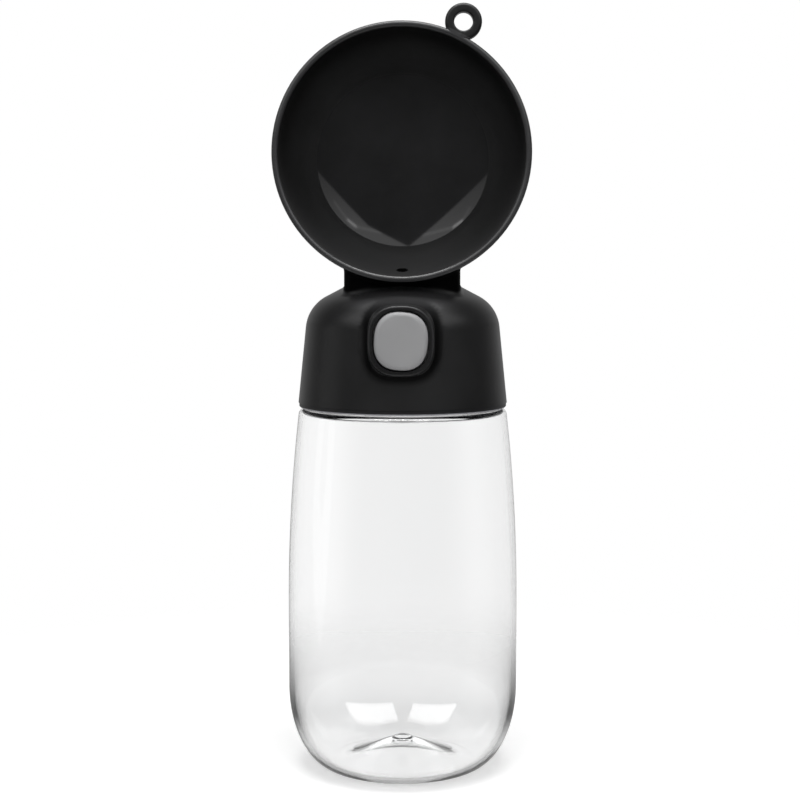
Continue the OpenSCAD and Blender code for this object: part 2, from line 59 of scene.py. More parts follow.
# Bottle
BOTTLE_R = 36.0
BOTTLE_H = 113.4
BELLY_H = 50.0
FOOT_R = 22.0
HEEL_H = 26.0
SHOULDER_R = 32.6
SHOULDER_ROUND = 1.8
SHOULDER_Z = BOTTLE_H - SHOULDER_ROUND
SIDE_EASE = 0.06
SIDE_POWER = 3
SIDE_LOW_Z = HEEL_H + 3
WALL = 1.4
FLOOR_T = 1.8
PUNT_R = 20.5
PUNT_END_R = PUNT_R - 0.1
PUNT_H = 6.4
GATE_R = 3.0
GATE_H = 0.7
GATE_TOP_R = 2.7
GATE_FOOT_R = GATE_R + 0.2
GATE_EDGE_H = GATE_H * 0.7
NECK_R = 26.0
NECK_WALL = 1.8
NECK_H = 9.2
NECK_FILLET = 0.6
MOUTH_Z = BOTTLE_H + NECK_H
MOUTH_OUTER_ROUND = 0.5
MOUTH_INNER_ROUND = 0.4
NECK_LOW_Z = BOTTLE_H + 0.9
NECK_HIGH_Z = MOUTH_Z - 0.7
# From a corner of its profile to the next point
BELLY_NEXT = 2
SHOULDER_IN_NEXT = 1
BELLY_IN_NEXT = 3
MOUTH_IN_NEXT = 1.5
GATE_NEXT = 0.8
# Nearer than this is the same place
SAME = 1e-6

# Screw thread on the neck, and in the collar, whose ridge keeps a least share of its height at its ends
PITCH = 4.0
THREAD_DEPTH = 1.2
THREAD_END = 450.0
THREAD_FADE = 22.5
THREAD_DROP = 7.3
THREAD_LOW_Z = MOUTH_Z - THREAD_DROP
THREAD_ROOT = 1.1
THREAD_CREST = 0.4
THREAD_PLAY = 0.75
COLLAR_IN_R = 27.7
COLLAR_CREST_R = 26.5
COLLAR_START = 90.0
COLLAR_SUNK = 0.3
COLLAR_LEAST = 0.02

# Bowl
BOWL_FRONT = 22.0
BOWL_Z = 191.9
BOWL_LEAN = 3.0
BOWL_DEPTH = 24.0
BOWL_R = 38.8
RIM_W = 1.9
DISH_R = 27.3
DISH_H = 3.0
POLISH_R = 26.7
RIM_AHEAD = BOWL_DEPTH + DISH_H
OUTLET_FRONT = 7.7
OUTLET_R = 1.8

# Cap
CAP_R = 32.6
CAP_Z = 115.5
CAP_SIDE_H = 23.5
CAP_TAPER = 5.8

# Button, and its ring, a superellipse of this power
BUTTON_Z = 136.1
BUTTON_RING_W = 19.6
BUTTON_RING_H = 20.8
RING_POWER = 3.0

# Limits of the painted light and shade on the head. A pair called a fade runs from where a change begins to
# where it is full
WALL_FADE_Z = (BOWL_Z - 20, BOWL_Z + 5)
WALL_FADE_AHEAD = (6.0, 20.0)
CREST_FRONT = 8.0
CREST_TOP_Z = 153.0
CREST_FADE_Z = (144.0, 147.5)
CREST_FADE_W = (21.0, 12.0)
BRIDGE_HALF_W = 21.0
BRIDGE_LOW_Z = 148.0
BRIDGE_TOP_Z = 157.0
HOLLOW_FADE_Z = (BUTTON_Z + 5, BUTTON_Z + 12)

# The same for what has no unit: how squarely a place faces, and how far it is out on the button's ring
RIM_FADE_FACING = (0.3, 0.6)
CREST_FADE_FACING = (0.2, 0.6)
UNDERSIDE_FACING = -0.5
RING_IN = 0.94
RING_OUT = 1.02
HOLLOW_FADE = (1.36, 1.06)

# How near to a surface a place on it is
NEAR_DISH = 0.2
NEAR_SIDE = 0.025
NEAR_EDGE = 0.03

# How far a mask reaches past its place's edge or stops short of it, and how far out the ring's begins
RIM_PAST_IN = 0.4
RIM_PAST_OUT = 0.3
FLOOR_PAST = 0.3
OUTLET_PAST = 0.05
SIDE_SHORT_LOW = 0.6
SIDE_SHORT_TOP = 0.1
RING_AHEAD = 0.4

# Return spring, between the gland and the back of the button
SPRING_FRONT = 32.65
SPRING_BACK = 19.05
SPRING_R = 4.1
SPRING_WIRE = 0.6
SPRING_TURNS = 6
SPRING_CLOSED = 270.0
SPRING_END_RISE = SPRING_WIRE * 0.8

# The way that the bowl faces, the middles of its rim and floor in metres, and how fast its floor rises
BOWL_FORWARD = Vector((0, -cos(BOWL_LEAN), sin(BOWL_LEAN)))
BOWL_CENTRE = Vector((0, -BOWL_FRONT, BOWL_Z)) * MM
DISH_CENTRE = BOWL_CENTRE - BOWL_FORWARD * RIM_AHEAD * MM
DISH_CURVE = DISH_H / (DISH_R ** 2 * MM)

# ---- Finishes ----

# Darker and lighter colour of each finish
CLEAR = ((0.985, 0.987, 0.988), (0.994, 0.995, 0.995))
BLACK = ((0.010, 0.010, 0.011), (0.016, 0.016, 0.017))
HEAD_BLACK = ((0.0095, 0.0095, 0.0098), (0.0135, 0.0135, 0.014))
# A near-black diffuse laid over the head as painted shade
PAINTED_SHADE_BLACK = (0.0015, 0.0015, 0.0015, 1)
GREY = ((0.31, 0.31, 0.315), (0.345, 0.345, 0.35))
IVORY = ((0.66, 0.66, 0.62), (0.74, 0.74, 0.70))
SILICONE = ((0.60, 0.62, 0.62), (0.74, 0.76, 0.76))
STEEL = ((0.50, 0.51, 0.53), (0.66, 0.67, 0.69))

# Scales of the noises: cloudiness and spark-eroded grain of the mouldings, and each finish's own
CLOUD = 55.0
GRAIN = 2600.0
FLOW_LINES = 420.0
BOWL_CLOUD = 30.0
RUBBER_CLOUD = 220.0
WIRE_LINES = 900.0
# Scales along X, Y and Z that draw the clear plastic's noises out upwards
WAVES_LONG = (1.0, 1.0, 0.22)
LINES_LONG = (1.0, 1.0, 0.03)
# Part of a noise's range over which a colour changes
NOISE_MIDDLE = (0.3, 0.7)
# Depths of the bumps in metres, their strengths, and how much the flow lines add to the waves
GRAIN_DEPTH = 0.00004
GRAIN_STRENGTH = 0.25
IVORY_GRAIN_STRENGTH = 0.1
WAVES_DEPTH = 0.0006
WAVES_STRENGTH = 0.12
FLOW_LINES_SHARE = 0.12

# Least roughness of each finish, what its noises add, and what the polish of the bowl's floor takes away
BLACK_ROUGH = 0.37
GREY_ROUGH = 0.40
IVORY_ROUGH = 0.30
CLOUD_ROUGH = 0.08
GRAIN_ROUGH = 0.06
HEAD_ROUGH = 0.29
HEAD_CLOUD_ROUGH = 0.07
HEAD_GRAIN_ROUGH = 0.05
BOWL_ROUGH = 0.8
BOWL_CLOUD_ROUGH = 0.03
FLOOR_POLISH = 0.775
RUBBER_ROUGH = 0.42
RUBBER_CLOUD_ROUGH = 0.15
WIRE_ROUGH = 0.22
WIRE_LINES_ROUGH = 0.14

# How much painted light each place adds to the black plastic's colour, or painted shade takes from it
BOWL_FLOOR_PAINTED_LIGHT = 1.1
RING_EDGE_PAINTED_HIGHLIGHT = 1.5
RIM_PAINTED_HIGHLIGHT = 2.3
CREST_PAINTED_LIGHT = 2.0
BRIDGE_PAINTED_SHADE = -0.7
OUTLET_PAINTED_SHADE = 0.97
UNDERSIDE_PAINTED_LIGHT = 24.0
# Painted light and shade on the bowl's wall: what high up adds, what towards the rim takes away, and how much
# more high up
WALL_HIGH_PAINTED_LIGHT = 0.55
WALL_RIM_PAINTED_SHADE = 0.15
WALL_HIGH_RIM_PAINTED_SHADE = 1.15
# How much of the painted-shade black shows round the ring and on the bridge, how much fainter that painted
# shade is above the ring, and the clear coat on the rim
HOLLOW_PAINTED_SHADE = 0.85
BRIDGE_PAINTED_BLACK = 0.9
HOLLOW_SHADE_FAINT = 0.8
RIM_COAT = 0.35

# ---- Studio, in metres and degrees ----

# Camera
LENS = 76.5
FILM_W = 36.0
CAMERA_AWAY = 0.531
CAMERA_UP = 0.1623
CAMERA_ASIDE = -0.00084
CAMERA_TURN = 1.0
CAMERA_DOWN = 4.99

# Lamps
SIDE_LAMP_TURN = 28.0
SIDE_LAMP = {"up": 38.0, "away": 0.95, "width": 0.6, "height": 0.5, "glow": 1.7}
TOP_LAMP = {"up": 80.0, "away": 0.8, "width": 0.6, "height": 0.34, "glow": 9.0}
LAMP_FRONT = 0.02
TOP_LAMP_AIM_Z = 0.15

# Table, with the distances over which it dims and fades
TABLE_R = 0.6
TABLE_DIM_FADE = (0.03, 0.07)
TABLE_END_FADE = (0.06, 0.26)
TABLE_WHITE = (0.8, 0.8, 0.8, 1)

# Light levels, where 1 is white, and shares of them
FLOOR_LIFT = 0.45
FLOOR_DIM = 0.35
FLOOR_DIM_FAR = 0.8
# Share of white glow by the bottle's foot, seen through the bottle: a painted pool of light
FOOT_PAINTED_POOL = 0.6
FLOOR_THROUGH_DIM = 0.2
ROOM_DARK = 0.05
BACKDROP_SHEEN = 0.45
GLASS_ROOM = 0.3
GLASS_UNDER = 0.25
GLASS_GLOW = 3.5
PANEL_GLOW = 1.1
EDGE_GLOW = 0.6
HOT_EDGE_GLOW = 3.6
STRIP_GLOW = 0.5
SIDE_FALL = 0.3
FILL = 0.25

# A direction in the studio is a pair: degrees to the right of the front, and degrees up
# Lit panels as the bowl sees them
PANEL_LEFT_FAR = (-75.0, 24.0)
PANEL_LEFT_FOOT = (-23.6, 10.8)
PANEL_PEAK = (-2.7, 30.5)
PANEL_KNEE = (8.2, 25.3)
PANEL_RIGHT_FOOT = (20.8, 11.2)
PANEL_RIGHT_FAR = (75.0, 24.0)
SOFT_EDGES = (((4.5, 27.1), (11.6, 25.4)), ((13.5, 23.8), (16.9, 19.0)),
              ((-14.6, 25.4), (-6.4, 27.7)), ((-18.6, 20.3), (-16.6, 23.9)))
HOT_EDGES = (((11.4, 25.5), (13.7, 23.6)), ((-16.8, 23.7), (-14.4, 25.5)))
EDGE_THICK = 0.35
# Lit panels as the bottle's foot sees them
FOOT_PANELS = (((13, 30), (72, 17), (74, 50), (2, 72)), ((-66, 20), (-12, 31), (-3, 70), (-70, 50)))

# Parts of a direction of length 1: limits of the panels, the strip, the backdrop and the dim room
PANEL_TOP = 0.93
PANEL_BACK = -0.12
PANEL_BLUR = 0.004
STRIP_SIDE = -0.985
STRIP_HALF_W = 0.012
BACKDROP_FADE = (0.2, 1.0)
GLASS_SIDE_FADE = (-0.8, 0.0)
GLASS_FLOOR_FADE = (-0.5, -0.25)
# How the panels' brightness grows with the upward part
PANEL_RISE = {"From_Min": 0.208, "From_Max": 0.469, "To_Min": 0.4, "To_Max": 1.15}

# ---- Shading ----

# Edges steeper than these, in degrees, stay sharp
SHARP_TURNED = 50.0
SHARP_SWEPT = 40.0
SHARP_CAD = 32.0
SHARP_FLOOR_EDGE = 6.0
# Points nearer than this, in metres, are joined
WELD = 2e-6


# ---- Mesh making ----

def new_object(name, bm, smooth_angle=None):
    """Turns a bmesh into an object, shaded smooth where its faces meet at less than an angle in degrees."""
    mesh = bpy.data.meshes.new(name)
    bmesh.ops.recalc_face_normals(bm, faces=bm.faces)
    bm.to_mesh(mesh)
    bm.free()
    obj = bpy.data.objects.new(name, mesh)
    bpy.context.scene.collection.objects.link(obj)
    mesh.shade_smooth()
    if smooth_angle:
        mesh.set_sharp_from_angle(angle=math.radians(smooth_angle))
    return obj


def skin(bm, rings):
    """Joins closed rings of points in order with quads, and closes the two ends."""
    made = [[bm.verts.new(p) for p in ring] for ring in rings]
    count = len(made[0])
    for low, high in zip(made, made[1:]):
        for i in range(count):
            j = (i + 1) % count
            bm.faces.new((low[i], low[j], high[j], high[i]))
    bm.faces.new(made[0])
    bm.faces.new(made[-1][::-1])


def turned(name, profile, segments, swell):
    """Turns a profile of (radius, height) in mm round the Z axis. swell(angle, r, z) moves a point out."""
    bm = bmesh.new()
    rings = []
    for r, z in profile:
        if r < SAME:
            rings.append([bm.verts.new((0, 0, z * MM))])
            continue
        ring = []
        for a in spread(0, 360, segments)[:-1]:
            out = (r + swell(a, r, z)) * MM
            ring.append(bm.verts.new((out * cos(a), out * sin(a), z * MM)))
        rings.append(ring)
    for low, high in zip(rings, rings[1:]):
        for i in range(segments):
            j = (i + 1) % segments
            if len(low) == 1:
                bm.faces.new((low[0], high[j], high[i]))
            elif len(high) == 1:
                bm.faces.new((low[i], low[j], high[0]))
            else:
                bm.faces.new((low[i], low[j], high[j], high[i]))
    return new_object(name, bm, SHARP_TURNED)


def arc(x, y, r, start, end, steps):
    """Points along an arc, angles in degrees."""
    return [(x + r * cos(a), y + r * sin(a)) for a in spread(start, end, steps)]


def spread(start, end, steps):
    """Evenly spaced values from start to end, both included."""
    return [start + (end - start) * i / steps for i in range(steps + 1)]


# ---- Bottle ----

def side_radius(z):
    """Radius of the outside, which narrows from the belly to the shoulder."""
    draw = max(0.0, (z - BELLY_H) / (SHOULDER_Z - BELLY_H))
    return BOTTLE_R - (BOTTLE_R - SHOULDER_R) * (1 + SIDE_EASE) * draw ** SIDE_POWER / (draw + SIDE_EASE)


def punt_rise(r):
    """Height of the hollow under the floor: rounded on top and easing into the foot."""
    return PUNT_H * (0.5 + 0.5 * math.cos(math.pi * min(1.0, r / PUNT_R)))


def heel(side_r, floor_z):
    """The rounded heel from the foot out to the side, a quarter of an ellipse."""
    return [(FOOT_R + (side_r - FOOT_R) * sin(a), floor_z + (HEEL_H - floor_z) * (1 - cos(a)))
            for a in spread(0, 90, steps=40)]


def outer_face():
    """From the middle of the floor's underside out and up to the shoulder."""
    points = [(r, punt_rise(r)) for r in spread(0, PUNT_END_R, steps=26)]
    points += heel(BOTTLE_R, 0)
    points += [(BOTTLE_R, z) for z in spread(SIDE_LOW_Z, BELLY_H, steps=6)]
    points += [(side_radius(z), z) for z in spread(BELLY_H + BELLY_NEXT, SHOULDER_Z, steps=30)]
    points += arc(SHOULDER_R - SHOULDER_ROUND, SHOULDER_Z, SHOULDER_ROUND, start=10, end=90, steps=10)
    return points


def neck_face():
    """From the shoulder up the outside of the neck and over the mouth."""
    points = arc(NECK_R + NECK_FILLET, BOTTLE_H + NECK_FILLET, NECK_FILLET, start=270, end=180, steps=6)
    points += [(NECK_R, z) for z in spread(NECK_LOW_Z, NECK_HIGH_Z, steps=38)]
    points += arc(NECK_R - MOUTH_OUTER_ROUND, MOUTH_Z - MOUTH_OUTER_ROUND, MOUTH_OUTER_ROUND,
                  start=0, end=90, steps=5)
    points += arc(NECK_R - NECK_WALL + MOUTH_INNER_ROUND, MOUTH_Z - MOUTH_INNER_ROUND, MOUTH_INNER_ROUND,
                  start=90, end=180, steps=5)
    return points


def inner_face():
    """From the mouth down to the middle of the floor."""
    neck_in_r = NECK_R - NECK_WALL
    fillet_z = BOTTLE_H - WALL + NECK_FILLET
    shoulder_in_round = SHOULDER_ROUND - WALL
    points = [(neck_in_r, z) for z in spread(MOUTH_Z - MOUTH_IN_NEXT, fillet_z, steps=4)]
    points += arc(neck_in_r + NECK_FILLET, fillet_z, NECK_FILLET, start=180, end=270, steps=5)
    points += arc(SHOULDER_R - SHOULDER_ROUND, SHOULDER_Z, shoulder_in_round, start=90, end=10, steps=8)
    points += [(side_radius(z) - WALL, z) for z in spread(SHOULDER_Z - SHOULDER_IN_NEXT, BELLY_H, steps=30)]
    points += [(BOTTLE_R - WALL, z) for z in spread(BELLY_H - BELLY_IN_NEXT, SIDE_LOW_Z, steps=6)]
    points += heel(BOTTLE_R - WALL, FLOOR_T)[::-1]
    points += [(r, FLOOR_T + punt_rise(r)) for r in spread(PUNT_END_R, GATE_R + GATE_NEXT, steps=22)]
    return points + gate_face()


def gate_face():
    """The low round mark of the moulding gate, in the middle of the floor's inside."""
    low = FLOOR_T + punt_rise(GATE_R)
    top = low + GATE_H
    return [(GATE_FOOT_R, low), (GATE_R, low + GATE_EDGE_H), (GATE_TOP_R, top), (GATE_R / 2, top), (0, top)]


def thread_rise(angle, begin):
    """Share of its full height that a thread has at an angle. It fades out at both ends."""
    return max(0.0, min(1.0, (angle - begin) / THREAD_FADE, (THREAD_END - angle) / THREAD_FADE))


def ridge_height(angle, z):
    """How far the neck's thread stands out here, in mm."""
    best = 0.0
    for a in (angle, angle + 360):
        off = abs(z - (THREAD_LOW_Z + PITCH * a / 360))
        slope = (THREAD_ROOT - off) / (THREAD_ROOT - THREAD_CREST)
        best = max(best, thread_rise(a, 0) * max(0.0, min(1.0, slope)))
    return best * THREAD_DEPTH


def make_bottle():
    """One blow moulding, with the thread on its neck."""
    def swell(angle, r, z):
        return ridge_height(angle, z) if abs(r - NECK_R) < SAME else 0.0

    profile = outer_face() + neck_face() + inner_face()
    bottle = turned("bottle_clear", profile, segments=160, swell=swell)
    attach(bottle, "bottle")
    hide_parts("bottle")
    return bottle


def make_collar_thread():
    """The ridge inside the collar that runs under the bottle's."""
    bm = bmesh.new()
    sunk_r = COLLAR_IN_R + COLLAR_SUNK
    drop = THREAD_ROOT + THREAD_CREST + THREAD_PLAY
    rings = []
    for a in spread(COLLAR_START, THREAD_END, steps=48):
        rise = max(COLLAR_LEAST, thread_rise(a, COLLAR_START))
        r = COLLAR_IN_R + (COLLAR_CREST_R - COLLAR_IN_R) * rise
        half = THREAD_ROOT + (THREAD_CREST - THREAD_ROOT) * rise
        z = THREAD_LOW_Z - drop + PITCH * a / 360
        section = [(sunk_r, -THREAD_ROOT), (r, -half), (r, half), (sunk_r, THREAD_ROOT)]
        rings.append([(out * cos(a) * MM, out * sin(a) * MM, (z + up) * MM) for out, up in section])
    skin(bm, rings)
    ridge = new_object("collar_thread", bm, SHARP_SWEPT)
    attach(ridge, "head")
    return ridge


def coil_rise(a):
    """How far along the spring its wire is at an angle, with the end coils closed up."""
    run = SPRING_FRONT - SPRING_BACK - SPRING_WIRE
    coils = 360.0 * SPRING_TURNS
    if a < SPRING_CLOSED:
        return SPRING_END_RISE * a / SPRING_CLOSED
    if a > coils - SPRING_CLOSED:
        return run - SPRING_END_RISE * (coils - a) / SPRING_CLOSED
    open_turns = (a - SPRING_CLOSED) / (coils - 2 * SPRING_CLOSED)
    return SPRING_END_RISE + (run - 2 * SPRING_END_RISE) * open_turns


def make_spring():
    """A round wire wound on a helix."""
    bm = bmesh.new()
    wire_r = SPRING_WIRE / 2
    rings = []
    for a in spread(0, 360 * SPRING_TURNS, steps=36 * SPRING_TURNS):
        ring = []
        for b in spread(0, 360, steps=10)[:-1]:
            r = SPRING_R + wire_r * cos(b)
            back = SPRING_BACK + wire_r + coil_rise(a) + wire_r * sin(b)
            ring.append((r * cos(a) * MM, -back * MM, (BUTTON_Z + r * sin(a)) * MM))
        rings.append(ring)
    skin(bm, rings)
    spring = new_object("spring_wire", bm, SHARP_SWEPT)
    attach(spring, "head")
    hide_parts("return_spring")
    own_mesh(spring)
    return spring


# ---- Nodes ----

class Shade:
    """A socket in a node tree. Arithmetic on it adds Math nodes, and a comparison gives 1 or 0."""

    def __init__(self, tree, socket=None):
        self.tree = tree
        self.socket = socket

    def add(self, kind, settings=None, output=0, **sockets):
        """Adds a node: its settings first, then values or links for its sockets.

        A socket is named with underscores for spaces, or by its number as in0, in1 and so on.
        """
        node = self.tree.nodes.new(kind)
        for key, value in (settings or {}).items():
            if key == "stops":
                fill_ramp(node.color_ramp, value)
            else:
                setattr(node, key, value)
        for key, value in sockets.items():
            numbered = key.startswith("in") and key[2:].isdigit()
            target = node.inputs[int(key[2:]) if numbered else key.replace("_", " ")]
            if isinstance(value, Shade):
                self.tree.links.new(value.socket, target)
            else:
                target.default_value = value
        return Shade(self.tree, node.outputs[output])

    def math(self, operation, *values):
        """A Math node."""
        sockets = {f"in{i}": value for i, value in enumerate(values)}
        return self.add("ShaderNodeMath", {"operation": operation}, **sockets)

    def vector(self, operation, *values, output=0, **sockets):
        """A Vector Math node. Its output 1 is the number that a length or a dot product gives."""
        sockets.update({f"in{i}": value for i, value in enumerate(values)})
        return self.add("ShaderNodeVectorMath", {"operation": operation}, output, **sockets)

    def __add__(self, other):
        return self.math("ADD", self, other)

    def __radd__(self, other):
        return self.math("ADD", other, self)

    def __sub__(self, other):
        return self.math("SUBTRACT", self, other)

    def __rsub__(self, other):
        return self.math("SUBTRACT", other, self)

    def __mul__(self, other):
        return self.math("MULTIPLY", self, other)

    def __rmul__(self, other):
        return self.math("MULTIPLY", other, self)

    def __lt__(self, other):
        return self.math("LESS_THAN", self, other)

    def __gt__(self, other):
        return self.math("GREATER_THAN", self, other)

    def __abs__(self):
        return self.math("ABSOLUTE", self)

    def clamp(self):
        return self.math("MINIMUM", self.math("MAXIMUM", self, 0.0), 1.0)


def fill_ramp(ramp, stops):
    while len(ramp.elements) < len(stops):
        ramp.elements.new(0.5)
    for element, (place, colour) in zip(ramp.elements, stops):
        element.position = place
        element.color = (*colour, 1)


def link(value, node, name):
    """Feeds a node's socket, which is known by its name or number."""
    value.tree.links.new(value.socket, node.inputs[name])


def position(start):
    """Where a point is on the object, in metres."""
    return start.add("ShaderNodeTexCoord", output="Object")


def ray(start, kind):
    """What the light path is, such as Is Camera Ray."""
    return start.add("ShaderNodeLightPath", output=kind)


def part(vector, axis):
    """One of a vector's parts: X, Y or Z."""
    return vector.add("ShaderNodeSeparateXYZ", output=axis, Vector=vector)


def dot(first, second):
    return first.vector("DOT_PRODUCT", first, second, output=1)


def length(vector):
    return vector.vector("LENGTH", vector, output=1)


def reach(x, y):
    """Length of the hypotenuse."""
    return x.math("SQRT", x * x + y * y)


def either(first, second):
    return first.math("MAXIMUM", first, second)


def power(value, exponent):
    return value.math("POWER", value, exponent)


def eased(value, fade, unit=1.0):
    """0 before a fade begins and 1 past its end, with a smooth step between. It may run downwards."""
    return value.add("ShaderNodeMapRange", {"interpolation_type": "SMOOTHSTEP"}, Value=value,
                     From_Min=fade[0] * unit, From_Max=fade[1] * unit)


def mix_shaders(factor, first, second):
    return first.add("ShaderNodeMixShader", in0=factor, in1=first, in2=second)


def pick_vector(mask, first, second):
    """The first vector where the mask is 0 and the second where it is 1."""
    return mask.add("ShaderNodeMix", {"data_type": "VECTOR"}, output=1, in0=mask, in4=first, in5=second)


def noise(where, scale, detail):
    return where.add("ShaderNodeTexNoise", Vector=where, Scale=scale, Detail=detail)


def stretched(where, scale):
    return where.add("ShaderNodeMapping", Vector=where, Scale=scale)


def bump(height, strength, distance):
    return height.add("ShaderNodeBump", Strength=strength, Distance=distance, Height=height)


def between(factor, pair):
    """Fades from the first colour of a pair to the second over the middle of a noise's range."""
    return factor.add("ShaderNodeValToRGB", {"stops": list(zip(NOISE_MIDDLE, pair))}, Fac=factor)


# ---- Finishes ----

def material(name):
    """A new material with its Principled shader, and a start for its nodes."""
    mat = bpy.data.materials.new(name)
    mat.use_nodes = True
    return mat, mat.node_tree.nodes["Principled BSDF"], Shade(mat.node_tree)


def clear_plastic():
    """Clear co-polyester, blow moulded: faint upright flow lines and a slight waviness."""
    mat, shader, start = material("clear_plastic")
    shader.inputs["Transmission Weight"].default_value = 1.0
    shader.inputs["IOR"].default_value = 1.55
    shader.inputs["Roughness"].default_value = 0.0
    where = position(start)
    waves = noise(stretched(where, WAVES_LONG), CLOUD, detail=2.0)
    lines = noise(stretched(where, LINES_LONG), FLOW_LINES, detail=2.0)
    link(bump(waves + lines * FLOW_LINES_SHARE, WAVES_STRENGTH, WAVES_DEPTH), shader, "Normal")
    link(between(waves, CLEAR), shader, "Base Color")
    return mat


def moulded(name, pair, rough, grain=GRAIN_STRENGTH):
    """A moulded plastic: fine spark-eroded grain, slightly uneven gloss."""
    mat, shader, start = material(name)
    where = position(start)
    cloud = noise(where, CLOUD, detail=3.0)
    fine = noise(where, GRAIN, detail=2.0)
    link(between(cloud, pair), shader, "Base Color")
    link(rough + cloud * CLOUD_ROUGH + fine * GRAIN_ROUGH, shader, "Roughness")
    link(bump(fine, grain, GRAIN_DEPTH), shader, "Normal")
    return mat


def bowl_view(where):
    """A place as the bowl has it: how far ahead of its floor, how far out squared, and the way out."""
    out = where.vector("SUBTRACT", where, tuple(DISH_CENTRE))
    ahead = dot(out, tuple(BOWL_FORWARD))
    sideways = out.vector("SUBTRACT", out, out.vector("SCALE", tuple(BOWL_FORWARD), Scale=ahead))
    away = length(out)
    return ahead, away * away - ahead * ahead, sideways


def bowl_masks(facing, ahead, across, sideways):
    """Masks for the bowl's polished floor, the front of its rim and all of its inside, where painted light
    and shade also go. across is squared.
    """
    on_floor = (abs(ahead - across * DISH_CURVE) < NEAR_DISH * MM) * (across < (POLISH_R * MM) ** 2)
    on_rim = (eased(dot(facing, tuple(BOWL_FORWARD)), RIM_FADE_FACING)
              * (ahead > (RIM_AHEAD - RIM_W) * MM)
              * (across > ((BOWL_R - RIM_W - RIM_PAST_IN) * MM) ** 2)
              * (across < ((BOWL_R + RIM_PAST_OUT) * MM) ** 2))
    inside = ((dot(facing, sideways) < 0.0)
              * (ahead > -FLOOR_PAST * MM)
              * (ahead < (RIM_AHEAD - RIM_W / 2) * MM)
              * (across < (BOWL_R * MM) ** 2))
    return on_floor, on_rim, either(on_floor, inside)


def wall_painted_light_and_shade(z, ahead, on_wall):
    """Painted light high on the bowl's wall near the floor, and painted shade towards the rim."""
    high = eased(z, WALL_FADE_Z, MM)
    near_rim = eased(ahead, WALL_FADE_AHEAD, MM)
    towards_rim = near_rim * (WALL_RIM_PAINTED_SHADE + high * WALL_HIGH_RIM_PAINTED_SHADE)
    return 1 + on_wall * (high * WALL_HIGH_PAINTED_LIGHT - towards_rim)


def cap_side(x, y, z):
    """Mask for the cap's straight side, and the way a cone with its taper faces there."""
    slope = math.tan(math.radians(CAP_TAPER))
    from_axis = reach(x, y)
    side_r = CAP_R * MM - (z - CAP_Z * MM) * slope
    on_side = ((abs(from_axis - side_r) < NEAR_SIDE * MM)
               * (z > (CAP_Z + SIDE_SHORT_LOW) * MM)
               * (z < (CAP_Z + CAP_SIDE_H - SIDE_SHORT_TOP) * MM))
    return on_side, x.add("ShaderNodeCombineXYZ", X=x, Y=y, Z=from_axis * slope)


def outlet_mask(x, y, z):
    """Mask for the inside of the duct that runs up into the bowl, which is rough and darkened with painted
    shade.
    """
    in_duct = reach(x, y + OUTLET_FRONT * MM) < (OUTLET_R + OUTLET_PAST) * MM
    return in_duct * (z < (BOWL_Z - BOWL_R / 2) * MM)


def crest_and_bridge(facing, x, y, z, in_bowl, on_rim):
    """Masks for the crest of the cap's top in front of the bridge, which gets painted light, and for the
    bridge's front, which gets painted shade.
    """
    level = eased(part(facing, "Z"), CREST_FADE_FACING)
    sidelong = abs(x)
    crest = (level * eased(sidelong, CREST_FADE_W, MM) * eased(z, CREST_FADE_Z, MM)
             * (y < -CREST_FRONT * MM) * (z < CREST_TOP_Z * MM))
    bridge = ((1 - level) * (1 - in_bowl) * (1 - on_rim)
              * (sidelong < BRIDGE_HALF_W * MM)
              * (z > BRIDGE_LOW_Z * MM) * (z < BRIDGE_TOP_Z * MM) * (y < 0.0))
    return crest, bridge


def ring_masks(x, y, z):
    """Masks for the edge of the button's ring, which gets a painted highlight, and for the hollow round it,
    which gets painted shade that is fainter above.
    """
    wide = abs(x) * (2 / (BUTTON_RING_W * MM))
    tall = abs(z - BUTTON_Z * MM) * (2 / (BUTTON_RING_H * MM))
    from_middle = power(power(wide, RING_POWER) + power(tall, RING_POWER), 1 / RING_POWER)
    edge = (from_middle > RING_IN) * (from_middle < RING_OUT) * (y < -(CAP_R + RING_AHEAD) * MM)
    hollow = ((y < -CAP_R / 2 * MM) * eased(from_middle, HOLLOW_FADE) * (from_middle > RING_OUT)
              * (1 - eased(z, HOLLOW_FADE_Z, MM) * HOLLOW_SHADE_FAINT))
    return edge, hollow


